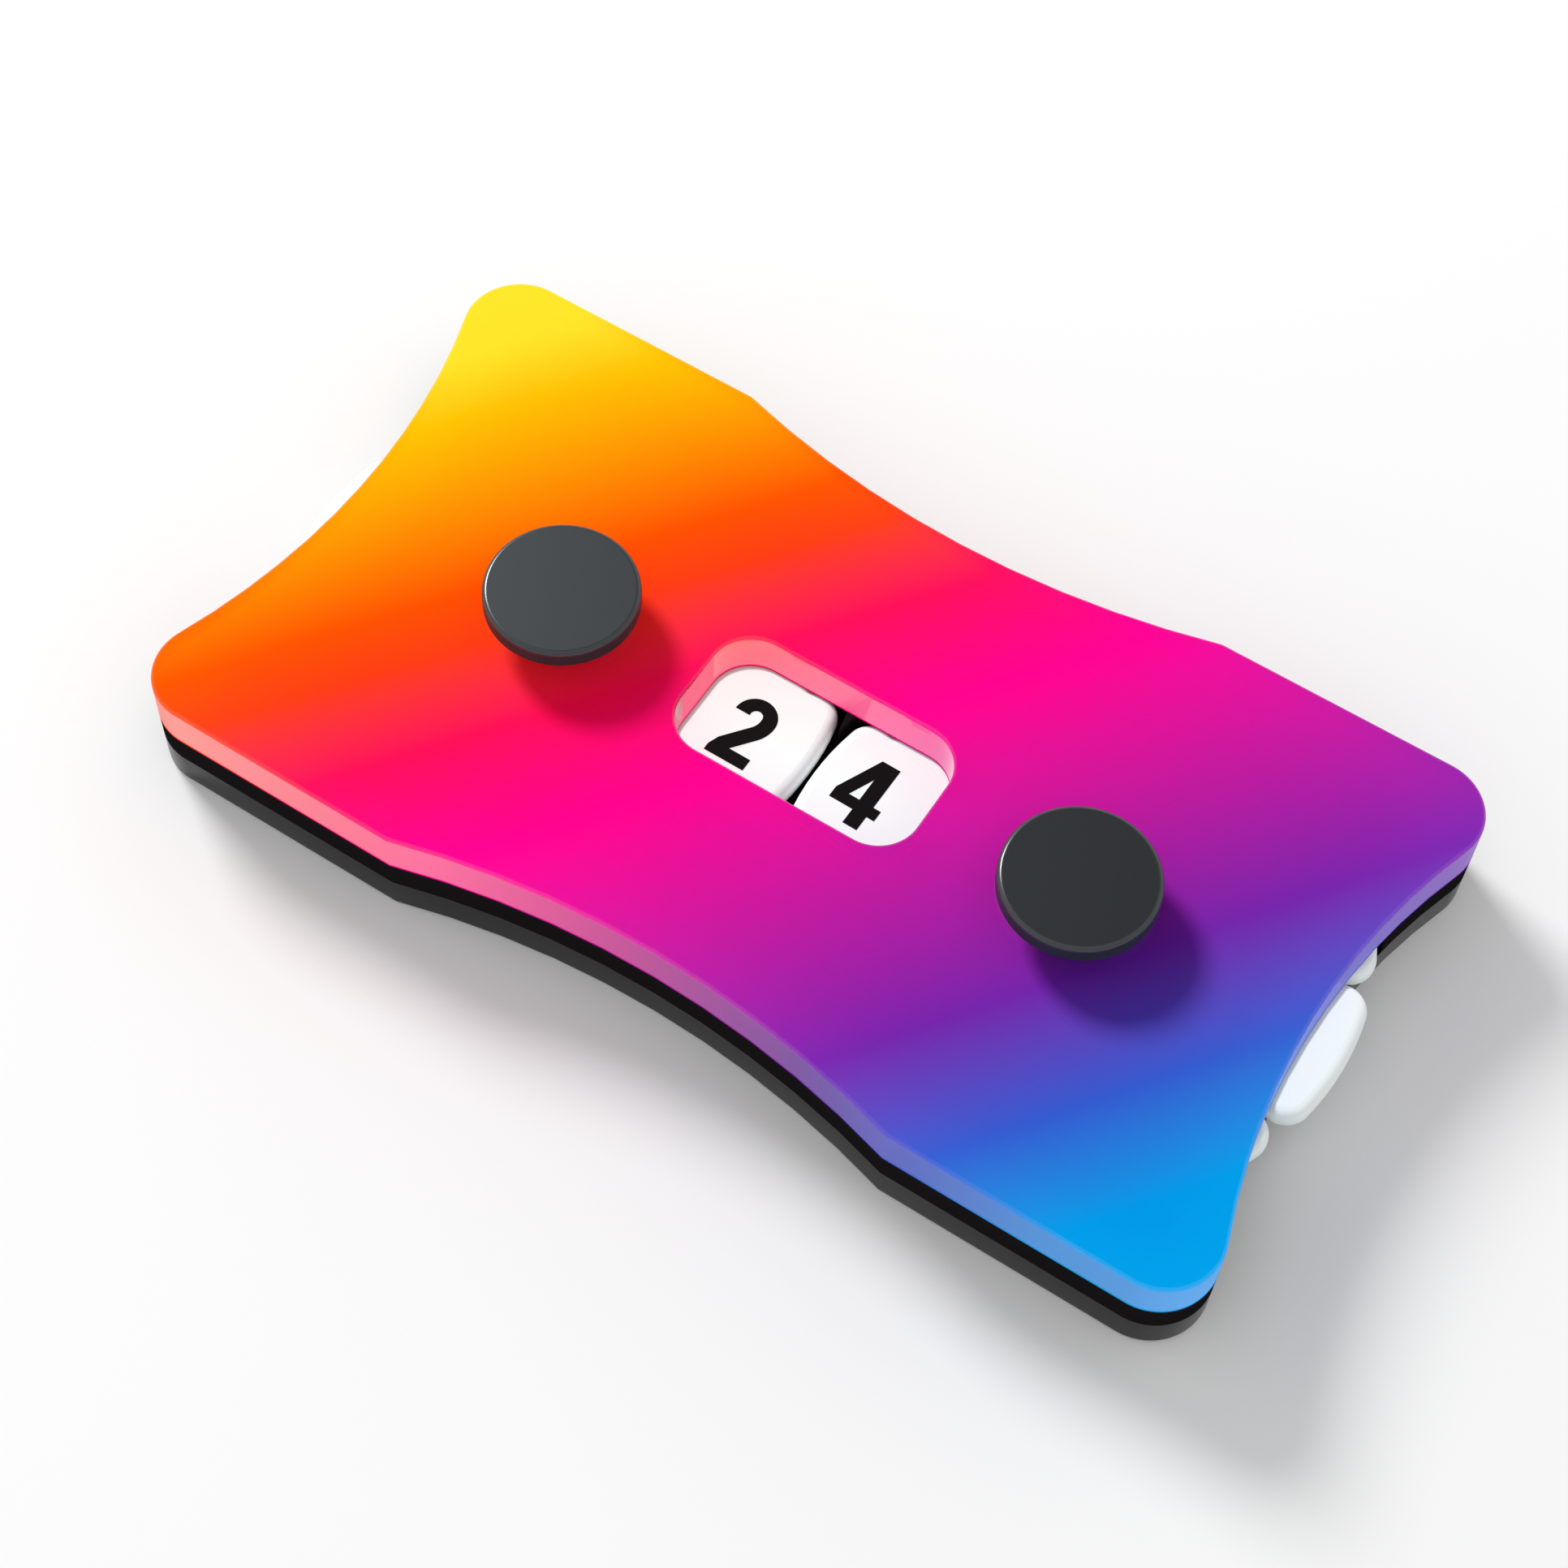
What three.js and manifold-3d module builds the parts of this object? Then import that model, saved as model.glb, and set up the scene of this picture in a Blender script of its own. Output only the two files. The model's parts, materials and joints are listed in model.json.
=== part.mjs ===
// Pocket life counter: two ten-petal number wheels turn in the middle layer of a flat sandwich of plates,
// and a window in the clear face plate shows one digit of each wheel.
// Millimetres, +Z up. The origin is under the middle of the counter, on the surface that it lies on.
// +X runs along the counter and +Y towards its rear long side.

import * as THREE from 'three';
import { mergeVertices } from 'three/addons/utils/BufferGeometryUtils.js';
import Module from 'manifold-3d';

const wasm = await Module();
wasm.setup();

// Plates, from the outline inwards and from the back upwards
const plateLength = 88;
const endScoopDepth = 3.3; // how far the middle of each short end is drawn in
const sideScoopInset = 1.35; // from the pivot axes to the ends of the hollow in each long side
const sideScoopDepth = 2.96;
const cornerRadius = 4.4;
const sideWall = 1.4; // left beside a wheel's pocket at the long sides
const backPlateThickness = 3;
const backEdgeRadius = 0.3;
const adhesiveThickness = 0.1;
const spacerThickness = 2.35;
const printFilmThickness = 0.15;
const facePlateThickness = 3.6;
const faceEdgeRadius = 0.4;

// Window over the two digits
const windowLength = 20;
const windowWidth = 10.8;
const windowCornerShare = 0.61; // of half the window's width

// Number wheels
const petalCount = 10;
const wheelReach = 3.2; // rim beyond the middle of the short end
const wheelGap = 0.4; // between the two rims, in the middle of the counter
const pocketClearance = 0.5; // from a rim to its pocket's wall
const petalCornerRadius = 2;
const notchWidth = 0.4;
const notchFlank = 0.3; // straight stretch between a petal's corner and the notch's round root
const wheelTopRoundShare = 0.42; // of the wheel's thickness
const wheelBottomRoundShare = 0.42;

// Pivots
const capRadius = 5.9;
const capHeight = 1.45;
const capEdgeRadius = 0.4;
const postEndGap = 0.3; // lets the screw pull the cap down before the post touches its head
const fitClearance = 0.1; // round a post in its holes, and round a shank in its bore
const postWall = 1.05; // round the bore for the screw
const sleeveWall = 0.85;
const runningClearance = 0.1; // from the sleeve to the wheel and the washers that it carries
const washerWidth = 3.4; // from the bore to the rim of a washer
const topWasherThickness = 0.1;
const waveWasherHeight = 0.45;
const waveWasherSheet = 0.12;
const waveCount = 3;
const screwHeadLip = 0.6; // how far the head reaches past the post's hole, onto its seat
const counterboreShare = 0.5; // of the back plate's thickness
const screwHeadSink = 0.2; // below the back face
const counterboreClearance = 0.3;
const screwShankRadius = 1.25;
const screwShankLength = 5;
const boreSpare = 0.5; // bore left empty past the end of the shank
const socketAcrossFlats = 2;
const socketShare = 0.6; // of the head's height

const cutOverrun = 1; // how far a cutter reaches past the faces that it opens

// Facets
const roundSteps = 36; // round a pivot part
const pocketSteps = 72;
const scoopSteps = 6; // in half of a hollow
const cornerSteps = 4; // in the quarter at a plate corner
const cornerTurnSteps = 1; // past the quarter, into the hollow of the short end
const windowCornerSteps = 4;
const edgeSteps = 2; // across a rounded edge
const petalCornerSteps = 3;
const notchRootSteps = 3;
const rimSteps = 4; // along the outer edge of a petal

// Heights of the layers
const adhesiveBottom = backPlateThickness;
const spacerBottom = adhesiveBottom + adhesiveThickness;
const printBottom = spacerBottom + spacerThickness;
const faceBottom = printBottom + printFilmThickness;
const faceTop = faceBottom + facePlateThickness;
const wheelBottom = backPlateThickness + waveWasherHeight;
const wheelTop = printBottom - topWasherThickness;

// Wheels, pockets and plate width, each worked out from the one before
const wheelTip = plateLength / 2 - endScoopDepth + wheelReach;
const wheelRadius = (wheelTip - wheelGap / 2) / 2;
const pivotX = wheelGap / 2 + wheelRadius;
const pocketRadius = wheelRadius + pocketClearance;
const plateWidth = 2 * (pocketRadius + sideWall);
const sideScoopEnd = pivotX - sideScoopInset;
const wheelThickness = wheelTop - wheelBottom;

// Radii and heights at a pivot, from the screw outwards
const boreRadius = screwShankRadius + fitClearance;
const postRadius = boreRadius + postWall;
const postHoleRadius = postRadius + fitClearance;
const sleeveRadius = postHoleRadius + sleeveWall;
const wheelBoreRadius = sleeveRadius + runningClearance;
const washerRadius = wheelBoreRadius + washerWidth;
const screwHeadRadius = postHoleRadius + screwHeadLip;
const counterboreRadius = screwHeadRadius + counterboreClearance;
const counterboreDepth = backPlateThickness * counterboreShare;
const postEnd = counterboreDepth + postEndGap;
const shankEnd = counterboreDepth + screwShankLength;
const socketEnd = screwHeadSink + (counterboreDepth - screwHeadSink) * socketShare;

const quarterTurn = Math.PI / 2;

// Points along an arc, both ends included.
function arc(x, y, radius, from, to, steps) {
  return Array.from({ length: steps + 1 }, (_, i) => {
    const angle = from + ((to - from) * i) / steps;
    return new THREE.Vector2(x + radius * Math.cos(angle), y + radius * Math.sin(angle));
  });
}

// A closed ring, anticlockwise, from the quarter that runs from the +X axis to the +Y axis.
function fourfold(quarter) {
  const mirrored = (sideX, sideY) => quarter.map((p) => new THREE.Vector2(p.x * sideX, p.y * sideY));
  return [
    ...mirrored(1, 1),
    ...mirrored(-1, 1).reverse().slice(1),
    ...mirrored(-1, -1).slice(1),
    ...mirrored(1, -1).reverse().slice(1, -1),
  ];
}

function circle(x, radius, steps) {
  return arc(x, 0, radius, 0, 2 * Math.PI, steps).slice(0, -1);
}

// Outline that all plates share, drawn in by an inset. The hollow of a short end runs smoothly into
// the two corners, and the hollow of a long side meets the straight stretches at a slight kink.
function plateOutline(inset) {
  const cornerX = plateLength / 2 - cornerRadius;
  const cornerY = plateWidth / 2 - cornerRadius;
  const endReach = (endScoopDepth ** 2 + cornerY ** 2) / (2 * endScoopDepth);
  const endRadius = endReach - cornerRadius;
  const endX = plateLength / 2 - endScoopDepth + endRadius;
  const turn = Math.asin(cornerY / endReach);
  const sideRadius = (sideScoopEnd ** 2 + sideScoopDepth ** 2) / (2 * sideScoopDepth);
  const sideY = plateWidth / 2 - sideScoopDepth + sideRadius;
  const kinkDrop = sideY - plateWidth / 2 + inset;
  const kinkAngle = -Math.asin(kinkDrop / (sideRadius + inset));
  return fourfold([
    ...arc(endX, 0, endRadius + inset, Math.PI, Math.PI - turn, scoopSteps).slice(0, -1),
    ...arc(cornerX, cornerY, cornerRadius - inset, -turn, 0, cornerTurnSteps).slice(0, -1),
    ...arc(cornerX, cornerY, cornerRadius - inset, 0, quarterTurn, cornerSteps),
    ...arc(0, sideY, sideRadius + inset, kinkAngle, -quarterTurn, scoopSteps),
  ]);
}

function windowOutline(inset) {
  const roundRadius = (windowWidth / 2) * windowCornerShare;
  const x = windowLength / 2 - roundRadius;
  const y = windowWidth / 2 - roundRadius;
  const radius = roundRadius + inset;
  return fourfold([
    new THREE.Vector2(x + radius, 0),
    ...arc(x, y, radius, 0, quarterTurn, windowCornerSteps),
    new THREE.Vector2(0, y + radius),
  ]);
}

// Rim of a wheel, drawn in by an inset: petals with rounded corners, parted by narrow round-ended notches.
function petalOutline(inset) {
  const pitch = (2 * Math.PI) / petalCount;
  const cornerY = notchWidth / 2 + petalCornerRadius;
  const cornerReach = wheelRadius - petalCornerRadius;
  const cornerAngle = Math.asin(cornerY / cornerReach);
  const cornerX = cornerReach * Math.cos(cornerAngle);
  const radius = petalCornerRadius - inset;
  const rootX = cornerX - notchFlank;
  const rimRadius = wheelRadius - inset;
  const onePitch = [
    ...arc(cornerX, -cornerY, radius, -cornerAngle, quarterTurn, petalCornerSteps),
    ...arc(rootX, 0, notchWidth / 2 + inset, quarterTurn * 3, quarterTurn, notchRootSteps),
    ...arc(cornerX, cornerY, radius, -quarterTurn, cornerAngle, petalCornerSteps),
    ...arc(0, 0, rimRadius, cornerAngle, pitch - cornerAngle, rimSteps).slice(1, -1),
  ];
  const origin = new THREE.Vector2();
  return Array.from({ length: petalCount }, (_, i) => (
    onePitch.map((p) => p.clone().rotateAround(origin, pitch * (i + 1 / 2)))
  )).flat();
}

// Heights and insets that round the lower and the upper edge of a plate.
function edgeLevels(bottom, top, bottomRadius, topRadius) {
  const turns = Array.from({ length: edgeSteps + 1 }, (_, i) => (quarterTurn * i) / edgeSteps);
  const lower = turns.map((a) => ({
    z: bottom + bottomRadius * (1 - Math.cos(a)),
    inset: bottomRadius * (1 - Math.sin(a)),
  }));
  const upper = turns.map((a) => ({
    z: top - topRadius * (1 - Math.sin(a)),
    inset: topRadius * (1 - Math.cos(a)),
  }));
  return [
    ...(bottomRadius > 0 ? lower : lower.slice(0, 1)),
    ...(topRadius > 0 ? upper : upper.slice(0, 1)),
  ];
}

// A closed plate through rings at rising levels: the first outline is the rim and the others are holes.
function loft(levels, rim, holes = []) {
  const sections = levels.map(({ z, inset }) => ({
    z,
    rings: [rim(inset), ...holes.map((hole) => hole(inset).reverse())],
  }));
  const positions = sections.flatMap(({ z, rings }) => rings.flat().flatMap((p) => [p.x, p.y, z]));
  const [contour, ...gaps] = sections[0].rings;
  const levelSize = contour.length + gaps.flat().length;
  const topStart = levelSize * (sections.length - 1);
  const indices = [];
  for (const [a, b, c] of THREE.ShapeUtils.triangulateShape(contour, gaps)) {
    indices.push(c, b, a, topStart + a, topStart + b, topStart + c);
  }
  for (let level = 0; level < sections.length - 1; level++) {
    let start = level * levelSize;
    for (const ring of sections[0].rings) {
      ring.forEach((_, i) => {
        const here = start + i;
        const next = start + ((i + 1) % ring.length);
        indices.push(here, next, next + levelSize, here, next + levelSize, here + levelSize);
      });
      start += ring.length;
    }
  }
  const geometry = new THREE.BufferGeometry();
  geometry.setAttribute('position', new THREE.Float32BufferAttribute(positions, 3));
  geometry.setIndex(indices);
  return geometry;
}

// A turned part about the Z axis, from a profile of radius and height that runs upwards on its outside.
function turned(profile) {
  const points = profile.map(([radius, z]) => new THREE.Vector2(radius, z));
  return new THREE.LatheGeometry(points, roundSteps).rotateX(quarterTurn);
}

function turnedRing(innerRadius, outerRadius, bottom, top) {
  return turned([
    [innerRadius, bottom],
    [outerRadius, bottom],
    [outerRadius, top],
    [innerRadius, top],
    [innerRadius, bottom],
  ]);
}

// A cylinder or prism to cut with, on a line parallel to the Z axis.
function cutter(radius, bottom, top, steps, x = 0) {
  return new THREE.CylinderGeometry(radius, radius, top - bottom, steps)
    .rotateX(quarterTurn)
    .translate(x, 0, (bottom + top) / 2);
}

function toManifold(geometry) {
  const bare = geometry.clone();
  bare.deleteAttribute('normal');
  bare.deleteAttribute('uv');
  const merged = mergeVertices(bare);
  return new wasm.Manifold(new wasm.Mesh({
    numProp: 3,
    vertProperties: merged.getAttribute('position').array,
    triVerts: Uint32Array.from(merged.getIndex().array),
  }));
}

function fromManifold(solid) {
  const { vertProperties, triVerts } = solid.getMesh();
  const geometry = new THREE.BufferGeometry();
  geometry.setAttribute('position', new THREE.Float32BufferAttribute(vertProperties, 3));
  geometry.setIndex(Array.from(triVerts));
  return geometry;
}

function subtract(geometry, cutters) {
  const whole = toManifold(geometry);
  return fromManifold(cutters.reduce((solid, tool) => solid.subtract(toManifold(tool)), whole));
}

// One half of the middle layer, in front of the wheels (side -1) or behind them (side 1). The wheels'
// two round pockets run into each other and out at both short ends, which parts the halves.
function middleHalf(bottom, thickness, side) {
  const top = bottom + thickness;
  const halfWidth = plateWidth / 2;
  const halfSpace = new THREE.BoxGeometry(plateLength, halfWidth, thickness)
    .translate(0, (side * halfWidth) / 2, (bottom + top) / 2);
  const layer = toManifold(loft(edgeLevels(bottom, top, 0, 0), plateOutline));
  const half = fromManifold(layer.intersect(toManifold(halfSpace)));
  return subtract(half, [-pivotX, pivotX].map((x) => (
    cutter(pocketRadius, bottom - cutOverrun, top + cutOverrun, pocketSteps, x)
  )));
}

function pivotHoles() {
  return [-pivotX, pivotX].map((x) => () => circle(x, postHoleRadius, roundSteps));
}

function facePlate() {
  const levels = edgeLevels(faceBottom, faceTop, 0, faceEdgeRadius);
  return loft(levels, plateOutline, [windowOutline, ...pivotHoles()]);
}

function printFilm() {
  const levels = edgeLevels(printBottom, faceBottom, 0, 0);
  return loft(levels, plateOutline, [windowOutline, ...pivotHoles()]);
}

function backPlate() {
  const levels = edgeLevels(0, backPlateThickness, backEdgeRadius, 0);
  return subtract(loft(levels, plateOutline), [-pivotX, pivotX].flatMap((x) => [
    cutter(postHoleRadius, -cutOverrun, backPlateThickness + cutOverrun, roundSteps, x),
    cutter(counterboreRadius, -cutOverrun, counterboreDepth, roundSteps, x),
  ]));
}

function numberWheel() {
  const bottomRound = wheelThickness * wheelBottomRoundShare;
  const topRound = wheelThickness * wheelTopRoundShare;
  const levels = edgeLevels(wheelBottom, wheelTop, bottomRound, topRound);
  return loft(levels, petalOutline, [() => circle(0, wheelBoreRadius, roundSteps)]);
}

// Disc on the face plate, its post down through the wheel, and the blind bore for the screw.
function pivotCap() {
  const boreEnd = shankEnd + boreSpare;
  const capTop = faceTop + capHeight;
  const edgeX = capRadius - capEdgeRadius;
  const edgeZ = capTop - capEdgeRadius;
  const edge = arc(edgeX, edgeZ, capEdgeRadius, 0, quarterTurn, edgeSteps);
  return turned([
    [0, boreEnd],
    [boreRadius, boreEnd],
    [boreRadius, postEnd],
    [postRadius, postEnd],
    [postRadius, faceTop],
    [capRadius, faceTop],
    ...edge.map((p) => [p.x, p.y]),
    [0, capTop],
  ]);
}

// Low cylinder head in the counterbore of the back plate, with a hexagon socket.
function pivotScrew() {
  const body = turned([
    [0, screwHeadSink],
    [screwHeadRadius, screwHeadSink],
    [screwHeadRadius, counterboreDepth],
    [screwShankRadius, counterboreDepth],
    [screwShankRadius, shankEnd],
    [0, shankEnd],
  ]);
  const hexagonSides = 6;
  const acrossCorners = socketAcrossFlats / Math.cos(Math.PI / hexagonSides);
  const socket = cutter(acrossCorners / 2, -cutOverrun, socketEnd, hexagonSides);
  return subtract(body, [socket]);
}

function pivotSleeve() {
  return turnedRing(postHoleRadius, sleeveRadius, backPlateThickness, printBottom);
}

function topWasher() {
  return turnedRing(wheelBoreRadius, washerRadius, wheelTop, printBottom);
}

// Spring sheet waved so that it touches the back plate and the wheel by turns, which gives the drag.
function waveWasher() {
  const sheetBottom = backPlateThickness + (waveWasherHeight - waveWasherSheet) / 2;
  const washer = turnedRing(wheelBoreRadius, washerRadius, sheetBottom, sheetBottom + waveWasherSheet);
  const position = washer.getAttribute('position');
  for (let i = 0; i < position.count; i++) {
    const angle = Math.atan2(position.getY(i), position.getX(i));
    const lift = ((waveWasherHeight - waveWasherSheet) / 2) * Math.sin(waveCount * angle);
    position.setZ(i, position.getZ(i) + lift);
  }
  return washer;
}

const finishes = {
  clearAcrylic: { color: '#eef0f4', roughness: 0.05, metalness: 0, transparent: true, opacity: 0.3 },
  printedFilm: { color: '#f0188c', roughness: 0.3, metalness: 0 },
  blackAcrylic: { color: '#161214', roughness: 0.2, metalness: 0 },
  darkAcrylic: { color: '#2f2d2f', roughness: 0.25, metalness: 0 },
  adhesive: { color: '#0c0b0c', roughness: 0.6, metalness: 0 },
  whitePlastic: { color: '#f4f6f8', roughness: 0.25, metalness: 0 },
  capMetal: { color: '#3e4042', roughness: 0.4, metalness: 0.8 },
  screwSteel: { color: '#2a2b2d', roughness: 0.35, metalness: 1 },
  springSteel: { color: '#b9bcc0', roughness: 0.3, metalness: 1 },
  nylon: { color: '#e9e6dc', roughness: 0.5, metalness: 0 },
};

function piece(name, geometry, finish) {
  const mesh = new THREE.Mesh(geometry, new THREE.MeshStandardMaterial(finish));
  mesh.name = name;
  return mesh;
}

// Everything on one pivot, in a frame whose Z axis is the pivot's axis.
function pivot(side, x) {
  const group = new THREE.Group();
  group.position.x = x;
  group.add(
    piece(`${side}_wheel`, numberWheel(), finishes.whitePlastic),
    piece(`${side}_pivot_cap`, pivotCap(), finishes.capMetal),
    piece(`${side}_pivot_screw`, pivotScrew(), finishes.screwSteel),
    piece(`${side}_pivot_sleeve`, pivotSleeve(), finishes.nylon),
    piece(`${side}_top_washer`, topWasher(), finishes.nylon),
    piece(`${side}_wave_washer`, waveWasher(), finishes.springSteel),
  );
  return group;
}

const lifeCounter = new THREE.Group();
lifeCounter.add(
  piece('face_plate', facePlate(), finishes.clearAcrylic),
  piece('print_film', printFilm(), finishes.printedFilm),
  piece('front_spacer', middleHalf(spacerBottom, spacerThickness, -1), finishes.blackAcrylic),
  piece('rear_spacer', middleHalf(spacerBottom, spacerThickness, 1), finishes.blackAcrylic),
  piece('front_adhesive', middleHalf(adhesiveBottom, adhesiveThickness, -1), finishes.adhesive),
  piece('rear_adhesive', middleHalf(adhesiveBottom, adhesiveThickness, 1), finishes.adhesive),
  piece('back_plate', backPlate(), finishes.darkAcrylic),
  pivot('left', -pivotX),
  pivot('right', pivotX),
);

export default lifeCounter;
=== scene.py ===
"""Looks of a pocket life counter: clear face plate over a printed colour gradient, black middle layer, dark
back plate, two white number wheels and two dark metal pivot caps. Laid out as an add-on, run as a script."""

import json
import math

import bmesh
import bpy
from bpy.props import FloatProperty, FloatVectorProperty, PointerProperty
from mathutils import Matrix, Vector

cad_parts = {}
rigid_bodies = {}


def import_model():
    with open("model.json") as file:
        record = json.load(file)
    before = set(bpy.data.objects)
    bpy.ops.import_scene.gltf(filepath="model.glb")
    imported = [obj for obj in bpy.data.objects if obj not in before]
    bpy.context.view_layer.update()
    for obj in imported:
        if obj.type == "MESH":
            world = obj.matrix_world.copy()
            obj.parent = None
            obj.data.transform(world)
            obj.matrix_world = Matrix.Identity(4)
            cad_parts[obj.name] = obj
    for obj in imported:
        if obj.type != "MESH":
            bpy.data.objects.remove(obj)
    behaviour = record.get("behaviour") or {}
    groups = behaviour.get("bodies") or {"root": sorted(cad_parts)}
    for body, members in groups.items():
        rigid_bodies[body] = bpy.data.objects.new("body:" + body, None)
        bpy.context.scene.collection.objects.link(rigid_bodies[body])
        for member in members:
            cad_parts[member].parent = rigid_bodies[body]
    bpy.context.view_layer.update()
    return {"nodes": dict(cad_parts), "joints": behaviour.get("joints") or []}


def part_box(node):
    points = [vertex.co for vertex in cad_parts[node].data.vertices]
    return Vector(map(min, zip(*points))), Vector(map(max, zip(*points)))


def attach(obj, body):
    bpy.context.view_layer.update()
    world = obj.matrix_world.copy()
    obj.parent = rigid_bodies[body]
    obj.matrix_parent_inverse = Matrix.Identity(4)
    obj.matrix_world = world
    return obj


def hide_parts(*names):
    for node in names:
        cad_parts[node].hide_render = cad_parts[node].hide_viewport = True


bl_info = {
    "name": "Life Counter",
    "version": (1, 0, 0),
    "blender": (4, 5, 0),
    "location": "3D View > Sidebar > Life Counter",
    "description": "Builds the plates, wheels and pivots of a pocket life counter",
    "category": "Add Mesh",
}

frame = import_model()

MM = 0.001
UP = (0.0, 0.0, 1.0)
QUARTER = math.pi / 2
SIDES = ("left", "right")

WELD = 0.0005 * MM  # points closer than this are one point
CONTACT = 0.02 * MM  # touching pieces are set into or off each other by this or by half of it
SHARP_ANGLE = math.radians(35)
LEVEL = 0.9999  # upward part of a flat face's normal
STEEP = 0.05  # upward part of a wall's normal, at most
LIT_THROUGH = 6 * MM  # the clear plate shades nothing that is nearer to its cut edge

PETALS = 10
EDGE_STEPS = 6  # across a rounded edge
ARC_STEP = math.radians(3)
TURNING_STEPS = 96

# Heights of the layers and reach of the round parts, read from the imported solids
PLATE_LOW, PLATE_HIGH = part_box("face_plate")
FILM_LOW, FILM_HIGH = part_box("print_film")
SPACER_LOW, SPACER_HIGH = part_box("rear_spacer")
BACK_LOW, BACK_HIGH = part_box("back_plate")
WHEEL_LOW, WHEEL_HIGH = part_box("left_wheel")
CAP_LOW, CAP_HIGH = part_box("left_pivot_cap")
SCREW_LOW, SCREW_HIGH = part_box("left_pivot_screw")
PIVOTS = {joint["child"].split("_")[0]: joint["pos_m"][0] for joint in frame["joints"]}
HALF_LENGTH = PLATE_HIGH.x
HALF_WIDTH = PLATE_HIGH.y
WHEEL_RADIUS = (WHEEL_HIGH.x - WHEEL_LOW.x) / 2
CAP_RADIUS = (CAP_HIGH.x - CAP_LOW.x) / 2
SCREW_HEAD_RADIUS = (SCREW_HIGH.x - SCREW_LOW.x) / 2


def linear(code):
    """Linear red, green, blue and alpha of an sRGB colour that is written like #ff8800."""
    shares = [int(code[i : i + 2], 16) / 255 for i in (1, 3, 5)]
    bent = [s / 12.92 if s <= 0.04045 else ((s + 0.055) / 1.055) ** 2.4 for s in shares]
    return (*bent, 1.0)


def length(name, description, millimetres):
    return FloatProperty(
        name=name, description=description, default=millimetres * MM, unit="LENGTH", precision=5
    )


def angle(name, description, degrees):
    return FloatProperty(
        name=name, description=description, default=math.radians(degrees), subtype="ANGLE"
    )


def number(name, description, default):
    return FloatProperty(name=name, description=description, default=default, precision=3)


def colour(name, description, code):
    return FloatVectorProperty(
        name=name, description=description, default=linear(code), subtype="COLOR", size=4
    )


class LIFECOUNTER_PG_plates(bpy.types.PropertyGroup):
    """Sizes of the plates that no bounding box gives."""

    corner_radius: length("Corner radius", "Corners of the plates", 4.4)
    end_scoop: length("End hollow", "How far the middle of a short end is drawn in", 3.3)
    side_scoop: length("Side hollow", "How far the middle of a long side is drawn in", 2.96)
    scoop_inset: length("Hollow inset", "From a pivot axis to the end of the long side's hollow", 1.35)
    pocket_clearance: length("Pocket clearance", "From a wheel to the wall of its pocket", 0.5)
    face_edge: length("Face edge", "Rounding of the face plate's edges", 0.25)
    back_edge: length("Back edge", "Rounding of the back plate's lower edge", 0.3)
    window_length: length("Window length", "Along the counter", 20)
    window_width: length("Window width", "Across the counter", 10.8)
    window_corner: length("Window corner", "Corner radius of the window", 3.294)
    post_hole: length("Post hole", "Radius of the holes for the pivot posts", 2.5)
    counterbore: length("Counterbore", "Radius of the screw heads' seats", 3.4)
    counterbore_depth: length("Counterbore depth", "Depth of the screw heads' seats", 1.5)
    glue_inset: length("Adhesive inset", "How far the adhesive stays back from the edge", 0.01)


class LIFECOUNTER_PG_wheels(bpy.types.PropertyGroup):
    """Sizes of the number wheels and their figures."""

    petal_corner: length("Petal corner", "Corner radius of a petal", 2)
    notch_width: length("Notch width", "Gap between two petals at its root", 0.4)
    notch_flank: length("Notch flank", "Straight stretch of a notch", 0.3)
    edge_round: length("Edge rounding", "Rounding of the petals' upper and lower edges", 0.798)
    bore: length("Bore radius", "Hole for the pivot sleeve", 3.45)
    figure_height: length("Figure height", "Height of a printed figure", 6)
    figure_width: length("Figure width", "Width of a round figure", 3.4)
    figure_stem: length("Stem", "Width of an upright stroke", 1.2)
    figure_bar: length("Bar", "Height of a level stroke", 1.05)
    reach: length("Figure reach", "From a pivot to the middle of its figures", 16.29)
    shown_shift: length("Shown figure shift", "How much further out the right wheel's shown figure is", 1.46)
    left_slant: angle("Left slant", "Turn of the left wheel's figures from upright", -0.3)
    right_slant: angle("Right slant", "Turn of the right wheel's figures from upright", -0.8)
    ink: length("Ink", "How far the printed figures stand out of the wheel", 0.03)


class LIFECOUNTER_PG_pivots(bpy.types.PropertyGroup):
    """Sizes of the caps and screws at the pivots."""

    cap_edge: length("Cap edge", "Rounding of the cap's upper edge", 0.4)
    post_radius: length("Post radius", "Post under the cap", 2.4)
    post_end: length("Post end", "Height of the post's lower end", 1.8)
    bore_radius: length("Bore radius", "Blind bore in the post", 1.35)
    bore_end: length("Bore end", "Height of the bore's upper end", 7)
    shank_radius: length("Shank radius", "Screw shank", 1.25)
    shank_start: length("Shank start", "Height of the seat of the screw's head", 1.5)
    head_edge: length("Head edge", "Rounding of the screw head's edge", 0.2)
    socket_width: length("Socket width", "Across the flats of the hexagon socket", 2)
    socket_depth: length("Socket depth", "Depth of the hexagon socket", 0.78)


class LIFECOUNTER_PG_finish(bpy.types.PropertyGroup):
    """Colours of the plain finishes."""

    middle: colour("Middle layer", "Black acrylic", "#1a1719")
    back: colour("Back plate", "Dark grey acrylic", "#191819")
    seam: colour("Seam", "Transfer adhesive", "#080708")
    wheel: colour("Wheel", "White moulded plastic", "#f3fbf9")
    figure: colour("Figures", "Printing ink", "#0d0a0c")
    cap: colour("Cap", "Dark anodised aluminium", "#3b3e40")
    cap_side: colour("Cap side", "Dyed oxide on the caps' sides", "#303336")
    screw: colour("Screw", "Black oxide steel", "#3a3b3e")
    nylon: colour("Nylon", "Natural nylon", "#e9e6dc")
    spring: colour("Spring steel", "Bright steel sheet", "#d9dadc")


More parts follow.
